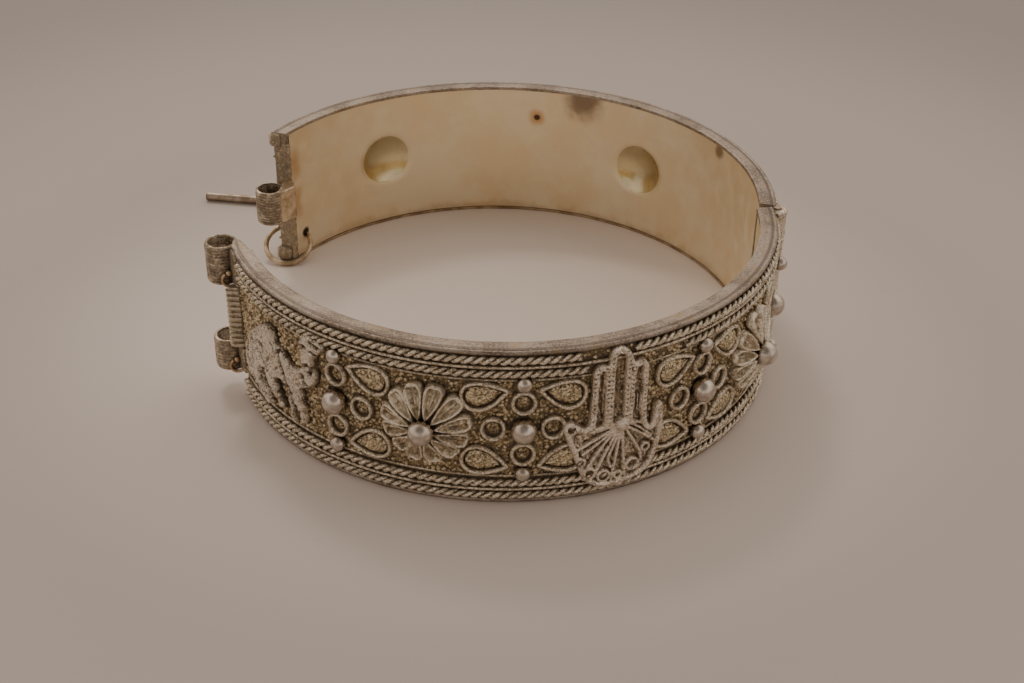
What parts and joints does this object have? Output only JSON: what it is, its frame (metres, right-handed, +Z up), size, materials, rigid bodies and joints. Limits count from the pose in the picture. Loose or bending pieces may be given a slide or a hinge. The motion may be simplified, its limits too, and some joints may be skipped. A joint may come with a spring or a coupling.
{
  "type": "hinged cuff bracelet",
  "caption": "Hinged silver cuff bracelet with roped edges, rosettes, drops, a hand and a camel outside, a smooth liner inside, and a clasp pin on a chain.",
  "frame": {"origin": "middle of the wrist opening, at the level of the lower edge that the bracelet rests on", "axes": "+Z up along the wrist axis, +X from the clasp side towards the hinge, +Y towards the back half"},
  "size_m": [0.0754, 0.0711, 0.018],
  "materials": {
    "aged_silver": "aged silver, worn bright on the high places, with dark recesses",
    "gilt_liner": "smooth, soft-polished sheet with a yellow tint and a few tarnish marks",
    "wire_silver": "plain silver wire, slightly warm"
  },
  "bodies": {
    "back": {"back_liner": "gilt_liner", "back_case": "aged_silver", "hinge_pin": "wire_silver", "safety_ring": "wire_silver", "safety_chain": "wire_silver", "clasp_pin": "wire_silver"},
    "front": {"front_liner": "gilt_liner", "front_case": "aged_silver"}
  },
  "joints": [
    {"name": "hinge", "type": "hinge", "parent": "back", "child": "front", "pos_m": [0.0313, 0, 0.009], "axis": [0, 0, 1], "range_deg": [-24, 60]}
  ]
}
